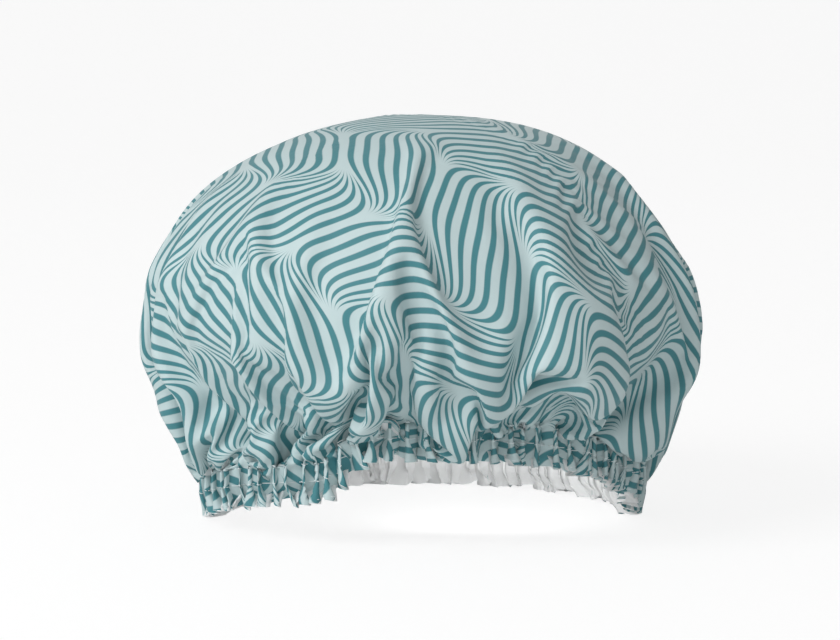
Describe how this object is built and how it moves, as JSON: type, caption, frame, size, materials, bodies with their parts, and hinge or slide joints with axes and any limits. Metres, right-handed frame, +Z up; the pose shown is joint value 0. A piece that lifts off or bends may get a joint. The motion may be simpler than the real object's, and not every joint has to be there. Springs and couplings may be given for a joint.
{
  "type": "shower cap",
  "caption": "Bouffant shower cap: a printed cloth crown over a white waterproof lining, gathered on an elastic band in a stitched casing above a frilled hem.",
  "frame": {"origin": "middle of the box that the cap stands in, on the surface under its frilled hem", "axes": "+X across the width of the cap to the right as seen from the front, +Y from the front of the cap to the back, +Z up from the opening to the crown"},
  "size_m": [0.2524, 0.2448, 0.1798],
  "materials": {
    "printed_cloth": "plain-woven polyester with a soft sheen, printed with teal wavy stripes on a pale blue-grey ground",
    "white_film": "thin white waterproof film with a satin face",
    "knitted_elastic": "matt white knitted elastic",
    "sewing_thread": "pale polyester sewing thread"
  },
  "bodies": {
    "root": {"outer_shell": "printed_cloth", "lining": "white_film", "elastic_band": "knitted_elastic", "elastic_tack": "sewing_thread", "casing_stitch_upper": "sewing_thread", "casing_stitch_lower": "sewing_thread", "edge_seam": "sewing_thread"}
  },
  "joints": []
}
